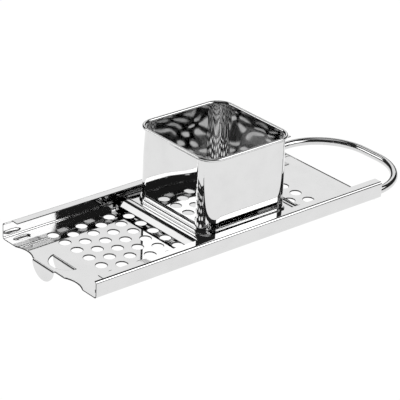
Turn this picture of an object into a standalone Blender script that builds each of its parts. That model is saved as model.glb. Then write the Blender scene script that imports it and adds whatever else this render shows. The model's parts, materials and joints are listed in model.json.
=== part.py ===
"""Spaetzle maker: a perforated steel tray, a dough hopper that slides in its rails, a rod handle.

X runs along the tray towards the handle, Y across it, Z up. The underside of the tray is at z = 0.
"""
import math

import bmesh
import bpy

MM = 0.001

# Sheet and gaps
SHEET = 0.8 * MM
FIT = 0.3 * MM            # gap between pieces that touch
INSET = 0.02 * MM         # how far a joined tongue stays inside the sheet that it grows from
BEND = 1.1 * MM           # radius of a bend, at the middle of the sheet
ARC_STEPS = 4             # facets in a bend

# Tray
TRAY_WIDTH = 107.0 * MM
TRAY_LENGTH = 262.0 * MM
RAIL_HEIGHT = 12.9 * MM
RAIL_LIP = 7.5 * MM       # width of the lip that covers each rail
LIP_SETBACK = 7.0 * MM    # the lips start this far behind the front edge
REAR_SETBACK = 5.3 * MM   # the base ends this far before the rails do
HEM_DEPTH = 2.4 * MM      # the rear edge of the base is folded down

# Holes in the base
HOLE_DIAMETER = 8.3 * MM
HOLE_PITCH = 13.8 * MM
ROW_PITCH = 12.3 * MM
HOLE_ROWS = 16
HOLES_PER_ROW = 6
FIRST_ROW = 31.0 * MM     # from the front edge of the tray
HOLE_OFFSET = -1.2 * MM   # the pattern sits a little off the middle
HOLE_SIDES = 16

# Front edge: pot hook, window and finger notches
HOOK_WIDTH = 24.0 * MM
HOOK_DEPTH = 10.6 * MM
HOOK_OFFSET = 4.5 * MM    # the hook sits a little off the middle
WINDOW_WIDTH = 26.0 * MM
WINDOW_DEPTH = 11.0 * MM
WINDOW_HINGE = 14.2 * MM  # from the front edge to the straight side of the window
NOTCH_WIDTH = 20.0 * MM
NOTCH_DEPTH = 2.6 * MM
NOTCH_OFFSET = 28.0 * MM

# Stops pressed up from the base, near the front of each rail
STOP_LENGTH = 15.0 * MM
STOP_WIDTH = 6.4 * MM
STOP_HEIGHT = 3.4 * MM
STOP_START = 4.0 * MM     # from the front edge
STOP_OFFSET = 49.0 * MM

# Handle
ROD = 6.0 * MM
LOOP_CORNER = 42.0 * MM
LOOP_REACH = 44.6 * MM    # from the rear end of the rails to the outside of the loop
ROD_TAIL = 27.0 * MM      # length of rod inside each rail
ROD_SIDES = 12

# Hopper
HOPPER_CENTRE = 13.3 * MM
HOPPER_LENGTH = 78.0 * MM
HOPPER_WIDTH = 79.2 * MM
HOPPER_TOP = 66.3 * MM
HOPPER_CORNER = 12.5 * MM
CORNER_STEPS = 8
RIM_BEAD = 2.6 * MM
RIM_OVERHANG = 1.2 * MM   # how far the bead stands out from the wall

# Slide plate around the foot of the hopper
PLATE_TOP = 7.8 * MM
PLATE_HALF_WIDTH = 51.5 * MM
PLATE_REACH = 14.0 * MM   # from the hopper wall to the front and rear edge
PLATE_FLAT = 8.0 * MM     # from the hopper wall to the bend of the front and rear lips
LIP_SLOPE = 25.0          # degrees
LIP_HALF_WIDTH = 43.5 * MM

# Values that follow from those above
HALF_WIDTH = TRAY_WIDTH / 2
FRONT = -TRAY_LENGTH / 2
REAR = TRAY_LENGTH / 2
BASE_REAR = REAR - REAR_SETBACK
LIP_FRONT = FRONT + LIP_SETBACK
LIP_EDGE = HALF_WIDTH - RAIL_LIP
SKID_BOTTOM = SHEET + FIT
BIG = 20 * MM             # overshoot of a cutter


def clear_scene():
    for obj in list(bpy.data.objects):
        bpy.data.objects.remove(obj, do_unlink=True)


def steel(name, colour, roughness):
    """Stainless steel, as a metal with the given colour and roughness."""
    material = bpy.data.materials.new(name)
    material.use_nodes = True
    shader = material.node_tree.nodes["Principled BSDF"]
    shader.inputs["Base Color"].default_value = (*colour, 1.0)
    shader.inputs["Metallic"].default_value = 1.0
    shader.inputs["Roughness"].default_value = roughness
    return material


def add_object(name, data):
    obj = bpy.data.objects.new(name, data)
    bpy.context.scene.collection.objects.link(obj)
    return obj


def mesh_object(name, mesh_builder):
    """Makes a named object from a bmesh, with its normals pointing outwards."""
    bmesh.ops.recalc_face_normals(mesh_builder, faces=mesh_builder.faces)
    mesh = bpy.data.meshes.new(name)
    mesh_builder.to_mesh(mesh)
    mesh_builder.free()
    return add_object(name, mesh)


def make_tool(obj):
    """Hides an object that only shapes another one."""
    obj.hide_render = True
    obj.display_type = "WIRE"
    return obj


def combine(target, tool, operation):
    modifier = target.modifiers.new(tool.name, "BOOLEAN")
    modifier.object = make_tool(tool)
    modifier.operation = operation
    modifier.solver = "EXACT"


def finish(obj, material, crease=35.0):
    obj.data.materials.append(material)
    obj.data.shade_smooth()
    obj.data.set_sharp_from_angle(angle=math.radians(crease))


def arc(centre, radius, start, end, steps):
    """Points on an arc in a plane, with its angles in degrees."""
    points = []
    for i in range(steps + 1):
        angle = math.radians(start + (end - start) * i / steps)
        points.append((centre[0] + radius * math.cos(angle), centre[1] + radius * math.sin(angle)))
    return points


def rounded_rectangle(half_x, half_y, radius, centre_x=0.0, steps=CORNER_STEPS):
    points = []
    for quarter, (sign_x, sign_y) in enumerate(((1, 1), (-1, 1), (-1, -1), (1, -1))):
        corner = (centre_x + sign_x * (half_x - radius), sign_y * (half_y - radius))
        points += arc(corner, radius, 90 * quarter, 90 * quarter + 90, steps)
    return points


def half_moon(width, depth, steps):
    """Outline of a segment of a circle: its chord on the first axis, its bulge towards -second."""
    radius = (width ** 2 / 4 + depth ** 2) / (2 * depth)
    spread = math.degrees(math.asin(min(1.0, width / 2 / radius)))
    return arc((0.0, radius - depth), radius, 270 - spread, 270 + spread, steps)


def prism(name, outline, direction, start, end):
    """Extrudes a closed outline along X, Y or Z. The outline holds the other two axes, in order."""
    builder = bmesh.new()
    corners = []
    for first, second in outline:
        place = {"X": (start, first, second), "Y": (first, start, second), "Z": (first, second, start)}
        corners.append(builder.verts.new(place[direction]))
    face = builder.faces.new(corners)
    extruded = bmesh.ops.extrude_face_region(builder, geom=[face])["geom"]
    moved = [item for item in extruded if isinstance(item, bmesh.types.BMVert)]
    length = end - start
    shift = {"X": (length, 0, 0), "Y": (0, length, 0), "Z": (0, 0, length)}
    bmesh.ops.translate(builder, verts=moved, vec=shift[direction])
    return mesh_object(name, builder)


def box(name, low, high):
    outline = [(low[0], low[1]), (high[0], low[1]), (high[0], high[1]), (low[0], high[1])]
    return prism(name, outline, "Z", low[2], high[2])


def folded_sheet(corners, thickness, bend=BEND):
    """Outline of a sheet folded along a line of corners, with a round bend at each inner corner."""
    left = []
    right = []
    for i, corner in enumerate(corners):
        before = corners[max(i - 1, 0)]
        after = corners[min(i + 1, len(corners) - 1)]
        heading_in = math.atan2(corner[1] - before[1], corner[0] - before[0])
        heading_out = math.atan2(after[1] - corner[1], after[0] - corner[0])
        if i in (0, len(corners) - 1):
            heading = heading_out if i == 0 else heading_in
            samples = [(corner, heading)]
        else:
            turn = (heading_out - heading_in + math.pi) % (2 * math.pi) - math.pi
            side = math.copysign(1.0, turn)
            back = bend * math.tan(abs(turn) / 2)
            start = (corner[0] - back * math.cos(heading_in), corner[1] - back * math.sin(heading_in))
            hub = (start[0] - side * bend * math.sin(heading_in),
                   start[1] + side * bend * math.cos(heading_in))
            samples = []
            for step in range(ARC_STEPS + 1):
                heading = heading_in + turn * step / ARC_STEPS
                point = (hub[0] + side * bend * math.sin(heading), hub[1] - side * bend * math.cos(heading))
                samples.append((point, heading))
        for point, heading in samples:
            normal = (-math.sin(heading) * thickness / 2, math.cos(heading) * thickness / 2)
            left.append((point[0] + normal[0], point[1] + normal[1]))
            right.append((point[0] - normal[0], point[1] - normal[1]))
    return left + right[::-1]


def hole_cutters():
    """One upright cylinder for each hole; every other row is shifted by half a pitch."""
    builder = bmesh.new()
    for row in range(HOLE_ROWS):
        x = FRONT + FIRST_ROW + row * ROW_PITCH
        shift = HOLE_PITCH / 4 if row % 2 == 0 else -HOLE_PITCH / 4
        for column in range(HOLES_PER_ROW):
            y = (column - (HOLES_PER_ROW - 1) / 2) * HOLE_PITCH + shift + HOLE_OFFSET
            made = bmesh.ops.create_cone(builder, cap_ends=True, segments=HOLE_SIDES, depth=BIG,
                                         radius1=HOLE_DIAMETER / 2, radius2=HOLE_DIAMETER / 2)
            bmesh.ops.translate(builder, verts=made["verts"], vec=(x, y, 0))
    return mesh_object("hole_cutters", builder)


def bent_tab(name, hinge, towards, width, depth):
    """A half-round tab that grows out of the base at x = hinge and is folded down."""
    thickness = SHEET - 2 * INSET
    level = SHEET / 2
    root = hinge - towards * 4 * MM
    face = hinge + towards * BEND
    outline = folded_sheet([(root, level), (face, level), (face, -BIG)], thickness)
    tab = prism(name, outline, "Y", -width / 2, width / 2)
    moon = half_moon(width, depth, 14)
    shape = [(width / 2, BIG), (-width / 2, BIG)] + [(y, z) for y, z in moon]
    combine(tab, prism(name + "_shape", shape, "X", hinge - BIG, hinge + BIG), "INTERSECT")
    return tab


def rear_hem():
    """The rear edge of the base, folded down between the rails."""
    thickness = SHEET - 2 * INSET
    level = SHEET / 2
    face = BASE_REAR + BEND
    outline = folded_sheet([(BASE_REAR - 4 * MM, level), (face, level), (face, -HEM_DEPTH)], thickness)
    half = HALF_WIDTH - SHEET - 2 * BEND
    return prism("rear_hem", outline, "Y", -half, half)


def stop_bump(side):
    """A low round-backed bump in the base, which stops the slide plate at the front of its rail."""
    builder = bmesh.new()
    bmesh.ops.create_icosphere(builder, subdivisions=2, radius=1.0)
    bmesh.ops.scale(builder, verts=builder.verts, vec=(STOP_LENGTH / 2, STOP_WIDTH / 2, STOP_HEIGHT))
    low = [vert for vert in builder.verts if vert.co.z < 0]
    bmesh.ops.scale(builder, verts=low, vec=(1.0, 1.0, 0.1))
    place = (FRONT + STOP_START + STOP_LENGTH / 2, side * STOP_OFFSET, SHEET - 5 * INSET)
    bmesh.ops.translate(builder, verts=builder.verts, vec=place)
    return mesh_object("stop_bump_left" if side > 0 else "stop_bump_right", builder)


def make_tray(material):
    """The base and both rails, folded from one sheet, with its holes, hook, window and notches."""
    wall = HALF_WIDTH - SHEET / 2
    top = RAIL_HEIGHT - SHEET / 2
    level = SHEET / 2
    line = [(-LIP_EDGE, top), (-wall, top), (-wall, level), (wall, level), (wall, top), (LIP_EDGE, top)]
    tray = prism("tray", folded_sheet(line, SHEET), "X", FRONT, REAR)

    combine(tray, hole_cutters(), "DIFFERENCE")
    base_half = HALF_WIDTH - SHEET - 2 * BEND
    combine(tray, box("base_trim", (BASE_REAR, -base_half, -BIG), (REAR + BIG, base_half, BIG / 2)),
            "DIFFERENCE")
    lip_half = HALF_WIDTH - 2 * BEND
    combine(tray, box("lip_trim", (FRONT - BIG, -lip_half, RAIL_HEIGHT / 2), (LIP_FRONT, lip_half, BIG)),
            "DIFFERENCE")

    hinge = FRONT + WINDOW_HINGE
    window = [(hinge + z, y) for y, z in half_moon(WINDOW_WIDTH, WINDOW_DEPTH, 14)]
    combine(tray, prism("window", window, "Z", -BIG, BIG), "DIFFERENCE")
    for side in (-1, 1):
        notch = [(FRONT - z, y + side * NOTCH_OFFSET) for y, z in half_moon(NOTCH_WIDTH, NOTCH_DEPTH, 10)]
        notch += [(FRONT - BIG, notch[-1][1]), (FRONT - BIG, notch[0][1])]
        combine(tray, prism("notch_left" if side > 0 else "notch_right", notch, "Z", -BIG, BIG),
                "DIFFERENCE")
        combine(tray, stop_bump(side), "UNION")

    hook = bent_tab("pot_hook", FRONT, -1, HOOK_WIDTH, HOOK_DEPTH)
    hook.location.y = HOOK_OFFSET
    combine(tray, hook, "UNION")
    tongue_width = WINDOW_WIDTH - 2 * MM
    combine(tray, bent_tab("window_tongue", hinge, -1, tongue_width, WINDOW_DEPTH), "UNION")
    combine(tray, rear_hem(), "UNION")
    finish(tray, material)


def make_handle(material):
    """A round rod bent to a loop; both ends lie in the rails, on the base."""
    centre_y = HALF_WIDTH - SHEET - FIT - ROD / 2
    centre_z = SHEET + FIT + ROD / 2
    corner_x = REAR + LOOP_REACH - LOOP_CORNER - ROD / 2
    corner_y = centre_y - LOOP_CORNER
    route = [(REAR - ROD_TAIL, -centre_y)]
    route += arc((corner_x, -corner_y), LOOP_CORNER, -90, 0, 12)
    route += arc((corner_x, corner_y), LOOP_CORNER, 0, 90, 12)
    route += [(REAR - ROD_TAIL, centre_y)]

    curve = bpy.data.curves.new("handle", "CURVE")
    curve.dimensions = "3D"
    curve.bevel_depth = ROD / 2
    curve.bevel_resolution = ROD_SIDES // 4
    curve.use_fill_caps = True
    spline = curve.splines.new("POLY")
    spline.points.add(len(route) - 1)
    for point, (x, y) in zip(spline.points, route):
        point.co = (x, y, centre_z, 1.0)
    handle = add_object("handle", curve)
    handle.data.materials.append(material)


def rim_bead():
    """The edge of the hopper, rolled outwards into a round bead."""
    outset = RIM_OVERHANG - RIM_BEAD / 2
    curve = bpy.data.curves.new("rim_bead", "CURVE")
    curve.dimensions = "3D"
    curve.bevel_depth = RIM_BEAD / 2
    curve.bevel_resolution = 3
    spline = curve.splines.new("POLY")
    route = rounded_rectangle(HOPPER_LENGTH / 2 + outset, HOPPER_WIDTH / 2 + outset, HOPPER_CORNER + outset)
    spline.points.add(len(route) - 1)
    for point, (x, y) in zip(spline.points, route):
        point.co = (x, y, HOPPER_TOP - RIM_BEAD / 2, 1.0)
    spline.use_cyclic_u = True
    guide = add_object("rim_bead_guide", curve)
    bead = add_object("rim_bead", bpy.data.meshes.new_from_object(guide))
    bpy.data.objects.remove(guide, do_unlink=True)
    return bead


def tube_wall(name, half_x, half_y, radius, bottom, top):
    """A square tube with round corners, one sheet thick, open at both ends."""
    builder = bmesh.new()
    outline = rounded_rectangle(half_x, half_y, radius)
    verts = [builder.verts.new((x, y, bottom)) for x, y in outline]
    edges = [builder.edges.new((verts[i - 1], verts[i])) for i in range(len(verts))]
    extruded = bmesh.ops.extrude_edge_only(builder, edges=edges)["geom"]
    moved = [item for item in extruded if isinstance(item, bmesh.types.BMVert)]
    bmesh.ops.translate(builder, verts=moved, vec=(0, 0, top - bottom))
    wall = mesh_object(name, builder)
    solid = wall.modifiers.new("sheet", "SOLIDIFY")
    solid.thickness = SHEET
    solid.offset = 0.0
    solid.use_even_offset = True
    return wall


def make_hopper(material):
    """The dough box: a square tube, open below, with a rolled rim."""
    middle = SHEET / 2
    hopper = tube_wall("hopper", HOPPER_LENGTH / 2 - middle, HOPPER_WIDTH / 2 - middle,
                       HOPPER_CORNER - middle, SKID_BOTTOM, HOPPER_TOP - RIM_BEAD / 2)
    bead = rim_bead()
    hopper.location.x = HOPPER_CENTRE
    bead.location.x = HOPPER_CENTRE
    combine(hopper, bead, "UNION")
    finish(hopper, material)


def make_slide_plate(material):
    """The pressed plate around the foot of the hopper; its folded sides run in the rails."""
    side = PLATE_HALF_WIDTH - SHEET / 2
    level = PLATE_TOP - SHEET / 2
    reach = HOPPER_LENGTH / 2 + PLATE_REACH
    line = [(-side, SKID_BOTTOM), (-side, level), (side, level), (side, SKID_BOTTOM)]
    plate = prism("slide_plate", folded_sheet(line, SHEET), "X", -reach, reach)
    plate.location.x = HOPPER_CENTRE

    mouth_outline = rounded_rectangle(HOPPER_LENGTH / 2 + FIT, HOPPER_WIDTH / 2 + FIT, HOPPER_CORNER + FIT)
    tools = [(prism("mouth", mouth_outline, "Z", 0, BIG), "DIFFERENCE")]
    bend_x = HOPPER_LENGTH / 2 + PLATE_FLAT
    slope = math.radians(LIP_SLOPE)
    run = reach - bend_x
    for end in (-1, 1):
        tag = "front" if end < 0 else "rear"
        low = (min(end * bend_x, end * (reach + BIG)), -LIP_HALF_WIDTH, 0)
        high = (max(end * bend_x, end * (reach + BIG)), LIP_HALF_WIDTH, BIG)
        tools.append((box(tag + "_trim", low, high), "DIFFERENCE"))
        tip = (end * reach, level - run * math.tan(slope))
        outline = folded_sheet([(end * (bend_x - 3 * MM), level), (end * bend_x, level), tip],
                               SHEET - 2 * INSET)
        half = LIP_HALF_WIDTH - FIT
        tools.append((prism(tag + "_lip", outline, "Y", -half, half), "UNION"))
    for tool, operation in tools:
        tool.location.x = HOPPER_CENTRE
        combine(plate, tool, operation)
    finish(plate, material)


def main():
    clear_scene()
    tray_steel = steel("tray_polished_steel", (0.72, 0.72, 0.73), 0.12)
    rod_steel = steel("handle_polished_steel", (0.70, 0.70, 0.71), 0.14)
    hopper_steel = steel("hopper_polished_steel", (0.74, 0.74, 0.75), 0.10)
    plate_steel = steel("slide_plate_polished_steel", (0.71, 0.71, 0.72), 0.13)
    make_tray(tray_steel)
    make_handle(rod_steel)
    make_hopper(hopper_steel)
    make_slide_plate(plate_steel)


main()
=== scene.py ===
import json
import math

import bmesh
import bpy
from mathutils import Matrix, Vector

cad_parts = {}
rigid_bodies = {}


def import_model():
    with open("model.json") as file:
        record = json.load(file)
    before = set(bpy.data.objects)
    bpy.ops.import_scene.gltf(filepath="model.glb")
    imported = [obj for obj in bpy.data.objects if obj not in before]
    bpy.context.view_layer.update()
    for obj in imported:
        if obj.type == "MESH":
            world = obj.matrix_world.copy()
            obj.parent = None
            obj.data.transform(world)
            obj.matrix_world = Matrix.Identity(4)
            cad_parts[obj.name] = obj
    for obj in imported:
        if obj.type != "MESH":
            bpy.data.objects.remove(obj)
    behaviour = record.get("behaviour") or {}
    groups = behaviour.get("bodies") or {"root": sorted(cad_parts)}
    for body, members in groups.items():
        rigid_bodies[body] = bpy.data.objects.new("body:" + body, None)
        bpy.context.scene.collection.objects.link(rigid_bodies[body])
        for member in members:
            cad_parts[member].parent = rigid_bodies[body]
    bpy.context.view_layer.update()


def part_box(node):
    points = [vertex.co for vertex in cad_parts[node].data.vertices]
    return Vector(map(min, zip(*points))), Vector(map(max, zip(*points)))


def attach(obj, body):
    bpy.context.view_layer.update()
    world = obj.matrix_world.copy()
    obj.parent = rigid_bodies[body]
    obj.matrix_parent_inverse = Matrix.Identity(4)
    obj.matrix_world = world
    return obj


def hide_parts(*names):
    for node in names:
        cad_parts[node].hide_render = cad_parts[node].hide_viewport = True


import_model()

# ---------------------------------------------------------------------------------------------
# Tray: one sheet of 0.8 mm stainless steel, punched with rows of holes, with both long sides
# folded to C-shaped rails. The pot hook and the tongue behind it are folded down from the sheet.
# ---------------------------------------------------------------------------------------------
MM = 0.001
TINY = 0.01 * MM            # two places closer than this are the same
SHARP = 1.0                 # faces that meet at more than this, in radians, make a sharp edge
SMOOTH_ANGLE = math.radians(32.0)
SHEET = 0.8 * MM
BEND = 1.1 * MM
RAIL_BEND = 1.7 * MM
tray_low, tray_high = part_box("tray")
TRAY_FRONT = -131.0 * MM
TRAY_REAR = tray_high.x
HALF_WIDTH = tray_high.y
RAIL_HEIGHT = tray_high.z
RAIL_LIP = 7.5 * MM
OPENINGS_HALF_WIDTH = 44.0 * MM  # the window, the notches and the holes all lie within this
LIP_FRONT = TRAY_FRONT + 7.0 * MM
BASE_REAR = TRAY_REAR - 5.3 * MM
HEM_START = BASE_REAR - 2.4 * MM
HEM_BEND = 6.0 * MM
HEM_ANGLE = math.radians(34.0)
WALL = HALF_WIDTH - SHEET / 2
LEVEL = SHEET / 2


def start_edit(piece):
    """Selects one piece alone and opens it in edit mode."""
    if bpy.context.mode != "OBJECT":
        bpy.ops.object.mode_set(mode="OBJECT")
    bpy.ops.object.select_all(action="DESELECT")
    piece.select_set(True)
    bpy.context.view_layer.objects.active = piece
    bpy.ops.object.mode_set(mode="EDIT")


def settle(piece):
    """Back to object mode, with the piece's place and scale put into its mesh."""
    if bpy.context.mode != "OBJECT":
        bpy.ops.object.mode_set(mode="OBJECT")
    bpy.ops.object.select_all(action="DESELECT")
    piece.select_set(True)
    bpy.context.view_layer.objects.active = piece
    bpy.ops.object.transform_apply(location=True, rotation=True, scale=True)


def select(piece, kind, test):
    """Deselects all of a piece, then selects the corners, edges or faces whose middle passes a test."""
    bpy.ops.mesh.select_mode(type=kind)
    bpy.ops.mesh.select_all(action="DESELECT")
    mesh = bmesh.from_edit_mesh(piece.data)
    items = {"VERT": mesh.verts, "EDGE": mesh.edges, "FACE": mesh.faces}[kind]
    for item in items:
        corners = [item] if kind == "VERT" else item.verts
        middle = sum((corner.co for corner in corners), Vector()) / len(corners)
        if test(middle, item):
            item.select_set(True)
    mesh.select_flush_mode()
    bmesh.update_edit_mesh(piece.data)


def extrude(x, y, z):
    """Extrudes the selection and moves the new part."""
    bpy.ops.mesh.extrude_region_move(TRANSFORM_OT_translate={"value": (x, y, z)})


def slice_all(place, normal, **settings):
    """Cuts all of the mesh in edit mode along a plane."""
    bpy.ops.mesh.select_all(action="SELECT")
    bpy.ops.mesh.bisect(plane_co=place, plane_no=normal, **settings)


def apply_modifier(piece, kind, **settings):
    """Puts a modifier on a piece and makes its result the piece's mesh."""
    modifier = piece.modifiers.new(kind.lower(), kind)
    for name, value in settings.items():
        setattr(modifier, name, value)
    bpy.context.view_layer.objects.active = piece
    bpy.ops.object.modifier_apply(modifier=modifier.name)


def combine(piece, tool, operation):
    """Cuts a tool from a piece, or joins it on, and removes the tool."""
    apply_modifier(piece, "BOOLEAN", object=tool, operation=operation, solver="EXACT")
    bpy.data.objects.remove(tool, do_unlink=True)


def smooth(piece):
    """Shades the bends smooth and keeps the flat faces flat right up to them."""
    settle(piece)
    bpy.ops.object.shade_smooth_by_angle(angle=SMOOTH_ANGLE)
    apply_modifier(piece, "WEIGHTED_NORMAL", keep_sharp=True, weight=50)


bpy.ops.object.select_all(action="DESELECT")
bpy.ops.mesh.primitive_plane_add(size=1.0, location=(0, 0, LEVEL))
tray = bpy.context.object
tray.name = "tray_sheet"
tray.scale = (TRAY_REAR - TRAY_FRONT, 2 * WALL, 1.0)
settle(tray)
start_edit(tray)
for side in (1, -1):
    select(tray, "EDGE", lambda middle, edge: side * middle.y > WALL - TINY and middle.z < SHEET)
    extrude(0, 0, RAIL_HEIGHT - SHEET)
    extrude(0, -side * (RAIL_LIP - SHEET / 2), 0)
select(tray, "EDGE", lambda middle, edge: abs(abs(middle.y) - WALL) < TINY and abs(middle.x) < TINY
       and (abs(middle.z - LEVEL) < TINY or abs(middle.z - RAIL_HEIGHT + LEVEL) < TINY))
bpy.ops.mesh.bevel(offset=RAIL_BEND, segments=8, affect="EDGES")

# The lips start a little behind the front edge, and the base ends before the rails do.
for cut_x in (LIP_FRONT, HEM_START):
    slice_all((cut_x, 0, 0), (1, 0, 0))
select(tray, "FACE", lambda middle, face: middle.x < LIP_FRONT and middle.z > RAIL_HEIGHT - SHEET
       and abs(middle.y) < WALL - RAIL_BEND)
bpy.ops.mesh.delete(type="FACE")
select(tray, "FACE", lambda middle, face: middle.x > HEM_START and middle.z < SHEET
       and abs(middle.y) < WALL - RAIL_BEND)
bpy.ops.mesh.delete(type="FACE")
select(tray, "EDGE", lambda middle, edge: abs(middle.x - HEM_START) < TINY
       and abs(middle.z - LEVEL) < TINY and abs(middle.y) < TINY)
bpy.ops.mesh.spin(steps=10, angle=-HEM_ANGLE, center=(HEM_START, 0, LEVEL - HEM_BEND), axis=(0, 1, 0))
settle(tray)
apply_modifier(tray, "SOLIDIFY", thickness=SHEET, offset=0.0, use_even_offset=True)

# Front edge: two finger notches, and a half-round window whose tongue hangs down from its hinge.
WINDOW_HINGE = TRAY_FRONT + 14.2 * MM
WINDOW_WIDTH = 26.0 * MM
WINDOW_DEPTH = 11.0 * MM
NOTCH_WIDTH = 20.0 * MM
NOTCH_DEPTH = 2.6 * MM
NOTCH_OFFSET = 28.0 * MM
HOOK_WIDTH = 24.0 * MM
HOOK_DEPTH = 10.6 * MM
HOOK_OFFSET = 4.5 * MM
PRESSED_EDGE = 0.7 * MM
PUNCH_HEIGHT = 10.0 * MM


def segment_radius(width, depth):
    """Radius of the circle whose segment has this width and depth."""
    return (width ** 2 / 4 + depth ** 2) / (2 * depth)


def upright_disc(radius, centre_x, centre_y):
    """A round punch that passes right through the base."""
    bpy.ops.mesh.primitive_cylinder_add(vertices=96, radius=radius, depth=PUNCH_HEIGHT,
                                        location=(centre_x, centre_y, 0))
    disc = bpy.context.object
    settle(disc)
    return disc


radius = segment_radius(WINDOW_WIDTH, WINDOW_DEPTH)
window = upright_disc(radius, WINDOW_HINGE + radius - WINDOW_DEPTH, 0)
start_edit(window)
slice_all((WINDOW_HINGE, 0, 0), (1, 0, 0), use_fill=True, clear_outer=True)
settle(window)
combine(tray, window, "DIFFERENCE")
radius = segment_radius(NOTCH_WIDTH, NOTCH_DEPTH)
for side in (1, -1):
    combine(tray, upright_disc(radius, TRAY_FRONT + NOTCH_DEPTH - radius, side * NOTCH_OFFSET), "DIFFERENCE")

# The punch draws the upper edges of the front, the notches and the window down a little.
start_edit(tray)
select(tray, "EDGE", lambda middle, edge: abs(middle.z - SHEET) < TINY
       and abs(middle.y) < OPENINGS_HALF_WIDTH and middle.x < WINDOW_HINGE - TINY
       and edge.calc_face_angle(0.0) > SHARP)
bpy.ops.mesh.bevel(offset=PRESSED_EDGE, segments=3, affect="EDGES")
settle(tray)

# Holes for the dough, punched from above, so that their upper edges are drawn in a little.
HOLE_RADIUS = 4.15 * MM
HOLE_PITCH = 13.8 * MM
ROW_PITCH = 12.3 * MM
FIRST_ROW = TRAY_FRONT + 31.0 * MM
HOLES_PER_ROW = 6
HOLE_ROWS = 16
HOLE_OFFSET = -1.2 * MM
HOLES_HALF_WIDTH = 45.0 * MM
HOLES_MARGIN = 6.0 * MM
DRAWN_EDGE = 0.45 * MM
for first in (0, 1):
    shift = HOLE_PITCH / 4 if first == 0 else -HOLE_PITCH / 4
    first_y = -(HOLES_PER_ROW - 1) / 2 * HOLE_PITCH + shift + HOLE_OFFSET
    bpy.ops.mesh.primitive_cylinder_add(vertices=40, radius=HOLE_RADIUS, depth=PUNCH_HEIGHT,
                                        location=(FIRST_ROW + first * ROW_PITCH, first_y, 0))
    punch = bpy.context.object
    settle(punch)
    for count, step in ((HOLES_PER_ROW, (0, HOLE_PITCH, 0)), (HOLE_ROWS // 2, (2 * ROW_PITCH, 0, 0))):
        apply_modifier(punch, "ARRAY", count=count, use_relative_offset=False,
                       use_constant_offset=True, constant_offset_displace=step)
    combine(tray, punch, "DIFFERENCE")
start_edit(tray)
select(tray, "EDGE", lambda middle, edge: abs(middle.z - SHEET) < TINY and abs(middle.y) < HOLES_HALF_WIDTH
       and FIRST_ROW - HOLES_MARGIN < middle.x < FIRST_ROW + HOLE_ROWS * ROW_PITCH
       and edge.calc_face_angle(0.0) > SHARP)
bpy.ops.mesh.bevel(offset=DRAWN_EDGE, segments=3, affect="EDGES")
settle(tray)

# Two stops, lanced and pushed up out of the base, hold the slide back at the front.
STOP_LENGTH = 15.0 * MM
STOP_WIDTH = 6.0 * MM
STOP_HEIGHT = 1.3 * MM
STOP_START = 4.0 * MM
STOP_OFFSET = 46.8 * MM
STOP_SLIT = 0.6 * MM
SLIT_LENGTH = STOP_LENGTH * 0.75
SLIT_WIDTH = 2.4 * STOP_SLIT
SLIT_HEIGHT = 2 * STOP_SLIT
stop_middle = TRAY_FRONT + STOP_START + STOP_LENGTH / 2


def stop_dome(side, height, shrink):
    """A long low dome about the middle of the sheet; shrink makes it narrower, for the hollow."""
    bpy.ops.mesh.primitive_uv_sphere_add(segments=48, ring_count=24, radius=1.0, location=(0, 0, 0))
    dome = bpy.context.object
    dome.scale = (STOP_LENGTH / 2 - shrink, STOP_WIDTH / 2 - shrink, height)
    dome.location = (stop_middle, side * STOP_OFFSET, LEVEL)
    settle(dome)
    return dome


for side in (1, -1):
    dome = stop_dome(side, STOP_HEIGHT + LEVEL, 0.0)
    start_edit(dome)
    slice_all((0, 0, LEVEL), (0, 0, 1), use_fill=True, clear_inner=True)
    settle(dome)
    combine(tray, dome, "UNION")
    combine(tray, stop_dome(side, STOP_HEIGHT + LEVEL - SHEET, SHEET), "DIFFERENCE")
    slit_y = side * (STOP_OFFSET - STOP_WIDTH / 2 + STOP_SLIT)
    bpy.ops.mesh.primitive_cube_add(size=1.0, location=(stop_middle, slit_y, SHEET))
    slit = bpy.context.object
    slit.scale = (SLIT_LENGTH, SLIT_WIDTH, SLIT_HEIGHT)
    settle(slit)
    combine(tray, slit, "DIFFERENCE")

# Two weld dents in each rail, where the electrodes pressed the rail against the handle.
WELD_DENT = 3.2 * MM
WELD_DENT_DEPTH = 0.25 * MM
WELD_HEIGHT = RAIL_HEIGHT * 0.55
WELD_PLACES = (TRAY_REAR - 13.0 * MM, TRAY_REAR - 9.0 * MM)
ball = WELD_DENT ** 2 / (8 * WELD_DENT_DEPTH)
for side in (1, -1):
    for weld_x in WELD_PLACES:
        ball_y = side * (HALF_WIDTH + ball - WELD_DENT_DEPTH)
        bpy.ops.mesh.primitive_uv_sphere_add(segments=128, ring_count=64, radius=ball,
                                             location=(weld_x, ball_y, WELD_HEIGHT))
        electrode = bpy.context.object
        settle(electrode)
        combine(tray, electrode, "DIFFERENCE")

# The pot hook and the tongue are folded down from the sheet, which they leave at their hinges.
TAB_ROOT = 3.0 * MM
TONGUE_WIDTH = WINDOW_WIDTH - 1.5 * MM


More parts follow.
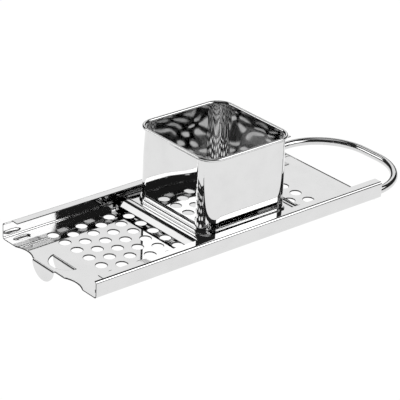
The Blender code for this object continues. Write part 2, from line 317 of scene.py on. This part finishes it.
def folded_tab(name, hinge, centre_y, width, depth):
    """A half-round tab that leaves the base at its hinge and turns down."""
    radius = segment_radius(width, depth)
    bpy.ops.mesh.primitive_circle_add(vertices=96, radius=radius, fill_type="NGON", location=(0, 0, 0),
                                      rotation=(0, math.pi / 2, 0))
    tab = bpy.context.object
    tab.name = name
    tab.location = (hinge - BEND, centre_y, radius - depth)
    settle(tab)
    start_edit(tab)
    slice_all((0, 0, LEVEL - BEND), (0, 0, 1), clear_outer=True)
    select(tab, "EDGE", lambda middle, edge: abs(middle.z - LEVEL + BEND) < TINY)
    bpy.ops.mesh.spin(steps=6, angle=-math.pi / 2, center=(hinge, 0, LEVEL - BEND), axis=(0, 1, 0))
    extrude(TAB_ROOT, 0, 0)
    settle(tab)
    apply_modifier(tab, "SOLIDIFY", thickness=SHEET - 4 * TINY, offset=0.0, use_even_offset=True)
    start_edit(tab)
    bpy.ops.mesh.select_all(action="SELECT")
    bpy.ops.mesh.remove_doubles(threshold=TINY)
    bpy.ops.mesh.normals_make_consistent(inside=False)
    settle(tab)
    return tab


combine(tray, folded_tab("pot_hook", TRAY_FRONT, HOOK_OFFSET, HOOK_WIDTH, HOOK_DEPTH), "UNION")
combine(tray, folded_tab("window_tongue", WINDOW_HINGE, 0, TONGUE_WIDTH, WINDOW_DEPTH), "UNION")
smooth(tray)
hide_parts("tray")
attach(tray, "tray")


def to_linear(code):
    """An sRGB hex colour as linear red, green, blue and alpha."""
    shares = [int(code[i:i + 2], 16) / 255 for i in (1, 3, 5)]
    return [s / 12.92 if s <= 0.04045 else ((s + 0.055) / 1.055) ** 2.4 for s in shares] + [1.0]


def add_node(material, kind, settings, links):
    """Adds a node, sets its sockets and properties, and links sockets to other nodes' outputs."""
    node = material.node_tree.nodes.new(kind)
    for name, value in settings.items():
        if name in node.inputs:
            node.inputs[name].default_value = value
        else:
            setattr(node, name, value)
    for name, source in links.items():
        material.node_tree.links.new(source, node.inputs[name])
    return node


def polished_steel(name, dark, light, roughness, wave_mm, wave_height_mm):
    """Stainless steel, rolled thin and buffed to a mirror: nearly white, with the slow waves
    of rolled sheet, the skin of the buffing wheel, hairline scratches from use and dull smudges."""
    material = bpy.data.materials.new(name)
    material.use_nodes = True
    tree = material.node_tree
    shader = tree.nodes["Principled BSDF"]
    shader.inputs["Metallic"].default_value = 1.0
    place = add_node(material, "ShaderNodeTexCoord", {}, {}).outputs["Object"]
    # Smudges and dried water, 15 mm wide: the steel is a little greyer and duller there.
    smudge = add_node(material, "ShaderNodeTexNoise", {"Scale": 1000 / 15.0, "Detail": 5.0,
                                                       "Roughness": 0.6}, {"Vector": place})
    tint = add_node(material, "ShaderNodeValToRGB", {}, {"Fac": smudge.outputs["Fac"]})
    tint.color_ramp.elements[0].position = 0.3
    tint.color_ramp.elements[0].color = to_linear(dark)
    tint.color_ramp.elements[1].position = 0.6
    tint.color_ramp.elements[1].color = to_linear(light)
    # Hairlines run along the slide's way: 0.6 mm apart and 40 mm long, coarser than real ones.
    along = add_node(material, "ShaderNodeMapping", {"Scale": (1000 / 40.0, 1000 / 0.6, 1000 / 0.6)},
                     {"Vector": place})
    hairline = add_node(material, "ShaderNodeTexNoise", {"Scale": 1.0, "Detail": 2.0},
                        {"Vector": along.outputs["Vector"]})
    worn = add_node(material, "ShaderNodeMapRange",
                    {"From Min": 0.35, "From Max": 0.75, "To Min": 0.0, "To Max": roughness * 0.5},
                    {"Value": hairline.outputs["Fac"]})
    dull = add_node(material, "ShaderNodeMapRange",
                    {"From Min": 0.3, "From Max": 0.7, "To Min": roughness * 1.3, "To Max": roughness * 0.7},
                    {"Value": smudge.outputs["Fac"]})
    total = add_node(material, "ShaderNodeMath", {"operation": "ADD"}, {})
    tree.links.new(worn.outputs["Result"], total.inputs[0])
    tree.links.new(dull.outputs["Result"], total.inputs[1])
    # Waves of the rolled sheet, then the skin that the buffing wheel leaves every 5 mm.
    wave = add_node(material, "ShaderNodeTexNoise", {"Scale": 1000 / wave_mm, "Detail": 1.0},
                    {"Vector": place})
    skin = add_node(material, "ShaderNodeTexNoise", {"Scale": 1000 / 5.0, "Detail": 1.0},
                    {"Vector": place})
    sheet_bump = add_node(material, "ShaderNodeBump", {"Distance": wave_height_mm * MM},
                          {"Height": wave.outputs["Fac"]})
    skin_bump = add_node(material, "ShaderNodeBump", {"Distance": wave_height_mm * MM * 0.004},
                         {"Height": skin.outputs["Fac"], "Normal": sheet_bump.outputs["Normal"]})
    tree.links.new(tint.outputs["Color"], shader.inputs["Base Color"])
    tree.links.new(total.outputs["Value"], shader.inputs["Roughness"])
    tree.links.new(skin_bump.outputs["Normal"], shader.inputs["Normal"])
    return material


# The sheet: a nearly white mirror, whose low waves bend the edges of what it shows.
sheet_steel = polished_steel("polished_stainless_sheet", "#dadada", "#dedede", 0.04, 36.0, 0.12)
tray.data.materials.clear()
tray.data.materials.append(sheet_steel)

# Sheared stainless: the cut edges are made rough, with a 0.8 mm grain, and dark grey, darker than sheared
# steel is, so part of that darkness is painted shade. So every opening has a thin dark outline.
EDGE_GRAIN_MM = 0.8
edge_steel_and_painted_shade = bpy.data.materials.new("sheared_edge_and_painted_shade")
edge_steel_and_painted_shade.use_nodes = True
edge_shader = edge_steel_and_painted_shade.node_tree.nodes["Principled BSDF"]
edge_shader.inputs["Metallic"].default_value = 1.0
edge_place = add_node(edge_steel_and_painted_shade, "ShaderNodeTexCoord", {}, {}).outputs["Object"]
grain = add_node(edge_steel_and_painted_shade, "ShaderNodeTexNoise", {"Scale": 1000 / EDGE_GRAIN_MM, "Detail": 3.0},
                 {"Vector": edge_place})
edge_tint_and_painted_shade = add_node(edge_steel_and_painted_shade, "ShaderNodeValToRGB", {}, {"Fac": grain.outputs["Fac"]})
# The dark grey tint: partly the duller sheared steel, partly painted shade.
edge_tint_and_painted_shade.color_ramp.elements[0].color = to_linear("#2c2c2c")
edge_tint_and_painted_shade.color_ramp.elements[1].color = to_linear("#5a5a5a")
edge_rough = add_node(edge_steel_and_painted_shade, "ShaderNodeMapRange", {"To Min": 0.3, "To Max": 0.55},
                      {"Value": grain.outputs["Fac"]})
edge_bump = add_node(edge_steel_and_painted_shade, "ShaderNodeBump", {"Distance": 0.02 * MM}, {"Height": grain.outputs["Fac"]})
edge_tree = edge_steel_and_painted_shade.node_tree
edge_tree.links.new(edge_tint_and_painted_shade.outputs["Color"], edge_shader.inputs["Base Color"])
edge_tree.links.new(edge_rough.outputs["Result"], edge_shader.inputs["Roughness"])
edge_tree.links.new(edge_bump.outputs["Normal"], edge_shader.inputs["Normal"])
tray.data.materials.append(edge_steel_and_painted_shade)


def give_finish(piece, slot, test):
    """Gives the faces that pass a test another of the piece's materials."""
    start_edit(piece)
    select(piece, "FACE", test)
    piece.active_material_index = slot
    bpy.ops.object.material_slot_assign()
    settle(piece)


def tray_edges_and_painted_shade(middle, face):
    """Whether a face of the tray gets the dark edge steel: a cut edge, an opening's drawn edge or the rear
    fold. On the drawn edges and the rear fold the dark grey is painted shade.
    """
    if abs(face.normal.z) > 0.97 or middle.z < -SHEET:
        return False
    # The rear fold is polished sheet: its dark grey is painted shade.
    if middle.x > HEM_START and middle.z < SHEET and abs(middle.y) < WALL - RAIL_BEND:
        return True
    if abs(face.normal.z) > 0.9:
        return False
    opening = abs(middle.y) < OPENINGS_HALF_WIDTH and -TINY < middle.z < SHEET + TINY
    lip_edge = middle.z > RAIL_HEIGHT - SHEET and abs(middle.y) < HALF_WIDTH - RAIL_LIP + TINY
    return opening or lip_edge or (abs(face.normal.x) > 0.7 and middle.z > 0)


give_finish(tray, 1, tray_edges_and_painted_shade)

# ---------------------------------------------------------------------------------------------
# Handle: one round rod of 6 mm stainless steel, bent to a loop with two round corners. Its
# straight ends lie inside the rails and are welded to them.
# ---------------------------------------------------------------------------------------------
ROD = 6.0 * MM
LOOP_CORNER = 42.0 * MM
handle_low, handle_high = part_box("handle")
rod_y = handle_high.y - ROD / 2
rod_z = (handle_low.z + handle_high.z) / 2
corner_x = handle_high.x - ROD / 2 - LOOP_CORNER
corner_y = rod_y - LOOP_CORNER
bpy.ops.mesh.primitive_circle_add(vertices=32, radius=ROD / 2, fill_type="NGON",
                                  location=(handle_low.x, -rod_y, rod_z), rotation=(0, math.pi / 2, 0))
handle = bpy.context.object
handle.name = "handle_rod"
settle(handle)
start_edit(handle)
bpy.ops.mesh.select_all(action="SELECT")
extrude(corner_x - handle_low.x, 0, 0)
for hub_y, crossing in ((-corner_y, 2 * corner_y), (corner_y, 0)):
    bpy.ops.mesh.spin(steps=24, angle=-math.pi / 2, center=(corner_x, hub_y, rod_z), axis=(0, 0, 1))
    if crossing:
        extrude(0, crossing, 0)
extrude(handle_low.x - corner_x, 0, 0)
bpy.ops.mesh.select_all(action="SELECT")
bpy.ops.mesh.remove_doubles(threshold=TINY)
bpy.ops.mesh.normals_make_consistent(inside=False)
smooth(handle)
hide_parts("handle")
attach(handle, "tray")
# The rod: a little greyer and softer than the sheet, and almost without waves.
rod_steel = polished_steel("polished_stainless_rod", "#cfcfcf", "#d8d8d8", 0.08, 30.0, 0.02)
handle.data.materials.append(rod_steel)

# ---------------------------------------------------------------------------------------------
# Hopper: a square tube of the same sheet with round corners, open above and below. Its upper
# edge is rolled outwards to a round bead.
# ---------------------------------------------------------------------------------------------
HOPPER_CENTRE = 13.3 * MM
HOPPER_LENGTH = 78.0 * MM
HOPPER_WIDTH = 79.2 * MM
HOPPER_CORNER = 12.5 * MM
RIM_BEAD = 2.6 * MM
hopper_low, hopper_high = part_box("hopper")


def square_tube(name, length, width, corner, bottom, top):
    """An open tube one face thick, with round upright corners, centred on the hopper."""
    bpy.ops.mesh.primitive_cube_add(size=1.0, location=(HOPPER_CENTRE, 0, (bottom + top) / 2))
    tube = bpy.context.object
    tube.name = name
    tube.scale = (length, width, top - bottom)
    settle(tube)
    start_edit(tube)
    select(tube, "FACE", lambda middle, face: abs(face.normal.z) > 0.5)
    bpy.ops.mesh.delete(type="ONLY_FACE")
    select(tube, "EDGE", lambda middle, edge: abs(middle.z - (bottom + top) / 2) < TINY)
    bpy.ops.mesh.bevel(offset=corner, segments=14, affect="EDGES")
    return tube


hopper = square_tube("hopper_box", HOPPER_LENGTH - SHEET, HOPPER_WIDTH - SHEET, HOPPER_CORNER - SHEET / 2,
                     hopper_low.z, hopper_high.z - RIM_BEAD / 2)

# Rolling the rim draws the upper half of the walls in by under a millimetre, more and more steeply.
# Each pair is a level and how far the wall is drawn in there, in millimetres.
BOW = ((31, 0.01), (39, 0.05), (43, 0.1), (47, 0.2), (51, 0.34), (55, 0.5), (60, 0.68))
TOP_DRAW = 0.78 * MM
for level_mm, draw_mm in BOW:
    slice_all((0, 0, level_mm * MM), (0, 0, 1))
rings = [(level_mm * MM, draw_mm * MM) for level_mm, draw_mm in BOW]
rings.append((hopper_high.z - RIM_BEAD / 2, TOP_DRAW))
for level, draw in rings:
    select(hopper, "VERT", lambda middle, corner: abs(middle.z - level) < TINY)
    share = 1 - 2 * draw / HOPPER_LENGTH
    bpy.ops.transform.resize(value=(share, share, 1), center_override=(HOPPER_CENTRE, 0, level))
select(hopper, "EDGE", lambda middle, edge: middle.z > hopper_high.z - RIM_BEAD / 2 - TINY)
bpy.ops.mesh.duplicate()
bpy.ops.mesh.separate(type="SELECTED")
settle(hopper)
bead = [obj for obj in bpy.context.scene.objects if obj.name.startswith("hopper_box.")][0]
bead.name = "rim_bead"
start_edit(bead)
bpy.ops.mesh.select_all(action="SELECT")
rim_share = (hopper_high.x - HOPPER_CENTRE - RIM_BEAD / 2) / (HOPPER_LENGTH / 2 - SHEET / 2 - TOP_DRAW)
bpy.ops.transform.resize(value=(rim_share, rim_share, 1), center_override=(HOPPER_CENTRE, 0, 0))
settle(bead)
bpy.ops.object.convert(target="CURVE")
bead = bpy.context.object
bead.data.bevel_depth = RIM_BEAD / 2
bead.data.bevel_resolution = 5
bpy.ops.object.convert(target="MESH")
bead = bpy.context.object
apply_modifier(hopper, "SOLIDIFY", thickness=SHEET, offset=0.0, use_even_offset=True)
combine(hopper, bead, "UNION")
smooth(hopper)
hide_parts("hopper")
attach(hopper, "hopper")
# Outside, a shade brighter and sharper than the tray. Inside, greyer, and with waves five times as high,
# so that what it shows breaks up into blobs.
hopper_steel = polished_steel("polished_stainless_box", "#dbdbdb", "#dfdfdf", 0.03, 42.0, 0.14)
inner_steel = polished_steel("greyer_stainless_inside", "#c4c4c4", "#d4d4d4", 0.045, 30.0, 0.7)
hopper.data.materials.clear()
hopper.data.materials.append(hopper_steel)
hopper.data.materials.append(inner_steel)


def faces_inside(middle, face):
    """Whether a face of the tube looks to the hopper's middle, below the bead."""
    outward = Vector((middle.x - HOPPER_CENTRE, middle.y, 0)).normalized()
    return face.normal.dot(outward) < -0.5 and middle.z < hopper_high.z - RIM_BEAD


give_finish(hopper, 1, faces_inside)

# ---------------------------------------------------------------------------------------------
# Slide plate: a pressed frame welded round the foot of the hopper. Its sides are folded down
# and run in the rails; its front and rear edges slope down to scrape the dough from the base.
# ---------------------------------------------------------------------------------------------
plate_low, plate_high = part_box("slide_plate")
PLATE_LEVEL = plate_high.z - SHEET / 2
PLATE_FLAT = 8.0 * MM
PLATE_REACH = 14.0 * MM
LIP_SLOPE = math.radians(25.0)
LIP_HALF_WIDTH = 43.2 * MM
LIP_BEND = 2.4 * MM
LIP_TRIM = 0.2 * MM
CREASE = 4.3 * MM
CREASE_WIDTH = 1.8 * MM
CREASE_DEPTH = 0.3 * MM
COLLAR = 3.6 * MM
COLLAR_BEND = 1.4 * MM
COLLAR_FOOT = COLLAR_BEND * 1.4
COLLAR_GAP = 0.2 * MM
MOUTH_GAP = 0.3 * MM
MOUTH_CUTTER = 20.0 * MM
plate_half = plate_high.y - SHEET / 2
flat_half = HOPPER_LENGTH / 2 + PLATE_FLAT
run = PLATE_REACH - PLATE_FLAT - LIP_TRIM
bpy.ops.mesh.primitive_plane_add(size=1.0, location=(HOPPER_CENTRE, 0, PLATE_LEVEL))
plate = bpy.context.object
plate.name = "slide_frame"
plate.scale = (2 * flat_half, 2 * plate_half, 1.0)
settle(plate)
start_edit(plate)
for cut_y in (-LIP_HALF_WIDTH, LIP_HALF_WIDTH):
    slice_all((0, cut_y, 0), (0, 1, 0))
for end in (1, -1):
    select(plate, "EDGE", lambda middle, edge: abs(middle.x - HOPPER_CENTRE - end * flat_half) < TINY
           and abs(middle.y) < LIP_HALF_WIDTH - TINY)
    extrude(end * run, 0, -run * math.tan(LIP_SLOPE))
for side in (1, -1):
    select(plate, "EDGE", lambda middle, edge: side * middle.y > plate_half - TINY
           and middle.z > PLATE_LEVEL - TINY)
    extrude(0, 0, plate_low.z - PLATE_LEVEL)
select(plate, "EDGE", lambda middle, edge: abs(abs(middle.y) - plate_half) < TINY
       and middle.z > PLATE_LEVEL - TINY)
bpy.ops.mesh.bevel(offset=BEND, segments=5, affect="EDGES")
select(plate, "EDGE", lambda middle, edge: abs(abs(middle.x - HOPPER_CENTRE) - flat_half) < TINY
       and abs(middle.y) < LIP_HALF_WIDTH - TINY and middle.z > PLATE_LEVEL - TINY)
bpy.ops.mesh.bevel(offset=LIP_BEND, segments=6, affect="EDGES")

# A shallow crease is pressed across the frame in front of the hopper and behind it.
for end in (1, -1):
    crease_x = HOPPER_CENTRE + end * (HOPPER_LENGTH / 2 + CREASE)
    for offset in (-CREASE_WIDTH / 2, 0, CREASE_WIDTH / 2):
        slice_all((crease_x + offset, 0, 0), (1, 0, 0))
    select(plate, "VERT", lambda middle, corner: abs(middle.x - crease_x) < TINY
           and middle.z > PLATE_LEVEL - TINY)
    bpy.ops.transform.translate(value=(0, 0, -CREASE_DEPTH))
settle(plate)
apply_modifier(plate, "SOLIDIFY", thickness=SHEET, offset=0.0, use_even_offset=True)
mouth = square_tube("mouth", HOPPER_LENGTH + 2 * MOUTH_GAP, HOPPER_WIDTH + 2 * MOUTH_GAP,
                    HOPPER_CORNER + MOUTH_GAP, 0, MOUTH_CUTTER)
select(mouth, "EDGE", lambda middle, edge: abs(middle.z - MOUTH_CUTTER / 2) > MOUTH_CUTTER / 2 - TINY)
bpy.ops.mesh.edge_face_add()
settle(mouth)
combine(plate, mouth, "DIFFERENCE")

# The edge of the mouth is turned up to a collar, which holds the foot of the hopper.
collar_side = SHEET + 2 * COLLAR_GAP
collar = square_tube("collar", HOPPER_LENGTH + collar_side, HOPPER_WIDTH + collar_side,
                     HOPPER_CORNER + collar_side / 2, PLATE_LEVEL, PLATE_LEVEL + COLLAR)
select(collar, "EDGE", lambda middle, edge: middle.z < PLATE_LEVEL + TINY)
extrude(0, 0, 0)
foot_share = 1 + 2 * COLLAR_FOOT / HOPPER_LENGTH
bpy.ops.transform.resize(value=(foot_share, foot_share, 1), center_override=(HOPPER_CENTRE, 0, PLATE_LEVEL))
select(collar, "EDGE", lambda middle, edge: abs(middle.z - PLATE_LEVEL) < TINY and len(edge.link_faces) == 2
       and edge.calc_face_angle(0.0) > SHARP)
bpy.ops.mesh.bevel(offset=COLLAR_BEND, segments=5, affect="EDGES")
settle(collar)
apply_modifier(collar, "SOLIDIFY", thickness=SHEET - 4 * TINY, offset=0.0, use_even_offset=True)
combine(plate, collar, "UNION")
smooth(plate)
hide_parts("slide_plate")
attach(plate, "hopper")
plate.data.materials.clear()
plate.data.materials.append(sheet_steel)
plate.data.materials.append(edge_steel_and_painted_shade)


def plate_edge(middle, face):
    """Whether a face of the slide plate is a cut end or the side of a lip."""
    cut_end = abs(face.normal.x) > 0.7 and middle.z < PLATE_LEVEL - SHEET / 2
    lip_side = abs(face.normal.z) < 0.5 and abs(abs(middle.y) - LIP_HALF_WIDTH) < TINY
    return cut_end or lip_side


# The cut ends and lip sides get the dark edge steel, whose darkness is partly painted shade.
give_finish(plate, 1, plate_edge)

# ---------------------------------------------------------------------------------------------
# Studio: a white light table for a floor, dark surroundings, and seven rectangular lamps. Polished
# steel shows little but what it reflects, so these make most of its look.
# ---------------------------------------------------------------------------------------------
FLOOR_GAP = 0.5 * MM
bpy.ops.mesh.primitive_plane_add(size=16.0, location=(0, 0, tray_low.z - FLOOR_GAP))
floor = bpy.context.object
floor.name = "floor"

# The light table: it shines an even white of its own, so that shadows on it stay faint.
floor_paint = bpy.data.materials.new("pale_light_table")
floor_paint.use_nodes = True
floor_shader = floor_paint.node_tree.nodes["Principled BSDF"]
floor_shader.inputs["Base Color"].default_value = to_linear("#404040")
floor_shader.inputs["Roughness"].default_value = 1.0
floor_shader.inputs["Specular IOR Level"].default_value = 0.0
floor_shader.inputs["Emission Color"].default_value = (1, 1, 1, 1)
floor_shader.inputs["Emission Strength"].default_value = 1.0
floor.data.materials.append(floor_paint)

LAMP_DISTANCE = 4.0


def softbox(name, azimuth, elevation, width, height, radiance):
    """A rectangular lamp on the side that a compass angle from +X gives, turned to the object."""
    lamp = bpy.data.lights.new(name, "AREA")
    lamp.shape = "RECTANGLE"
    lamp.size = width
    lamp.size_y = height
    lamp.energy = radiance * math.pi * width * height
    light = bpy.data.objects.new(name, lamp)
    bpy.context.scene.collection.objects.link(light)
    turn = math.radians(azimuth)
    rise = math.radians(elevation)
    away = Vector((math.cos(turn) * math.cos(rise), math.sin(turn) * math.cos(rise), math.sin(rise)))
    light.location = away * LAMP_DISTANCE
    light.rotation_euler = away.to_track_quat("Z", "Y").to_euler()


# Six boxes stand round the object. The overhead one keeps views from above from being black.
softbox("back_right_box", 45.0, 28.0, 2.8, 1.5, 1.0)
softbox("back_left_box", 130.0, 25.0, 2.4, 1.4, 2.0)
softbox("back_top_box", 90.0, 50.0, 1.2, 1.2, 1.2)
softbox("right_box", -34.0, 40.0, 1.9, 1.5, 1.9)
softbox("front_right_box", -62.0, 36.0, 2.1, 2.4, 1.9)
softbox("right_fill", -44.5, 26.0, 0.55, 0.4, 0.9)
softbox("overhead_box", 0.0, 89.0, 2.6, 2.6, 0.55)

# Dark surroundings: a face that looks past the lamps is nearly black.
world = bpy.data.worlds.new("studio")
bpy.context.scene.world = world
world.use_nodes = True
world.node_tree.nodes["Background"].inputs["Color"].default_value = to_linear("#2a2a2a")

# A long lens, from the front end and the -Y side.
CAMERA_PLACE = Vector((-852.4, -984.4, 651.8)) * MM
CAMERA_AZIMUTH = math.radians(-40.957)
CAMERA_ELEVATION = math.radians(26.087)
CAMERA_ROLL = math.radians(2.457)
camera = bpy.data.objects.new("camera", bpy.data.cameras.new("camera"))
bpy.context.scene.collection.objects.link(camera)
camera.data.lens = 183.67
camera.data.clip_start = 0.05
turned = Matrix.Rotation(CAMERA_AZIMUTH, 3, "Z") @ Matrix.Rotation(math.pi / 2 - CAMERA_ELEVATION, 3, "X")
turned = turned @ Matrix.Rotation(CAMERA_ROLL, 3, "Z")
camera.matrix_world = Matrix.Translation(CAMERA_PLACE) @ turned.to_4x4()
bpy.context.scene.camera = camera
bpy.context.scene.view_settings.view_transform = "Standard"
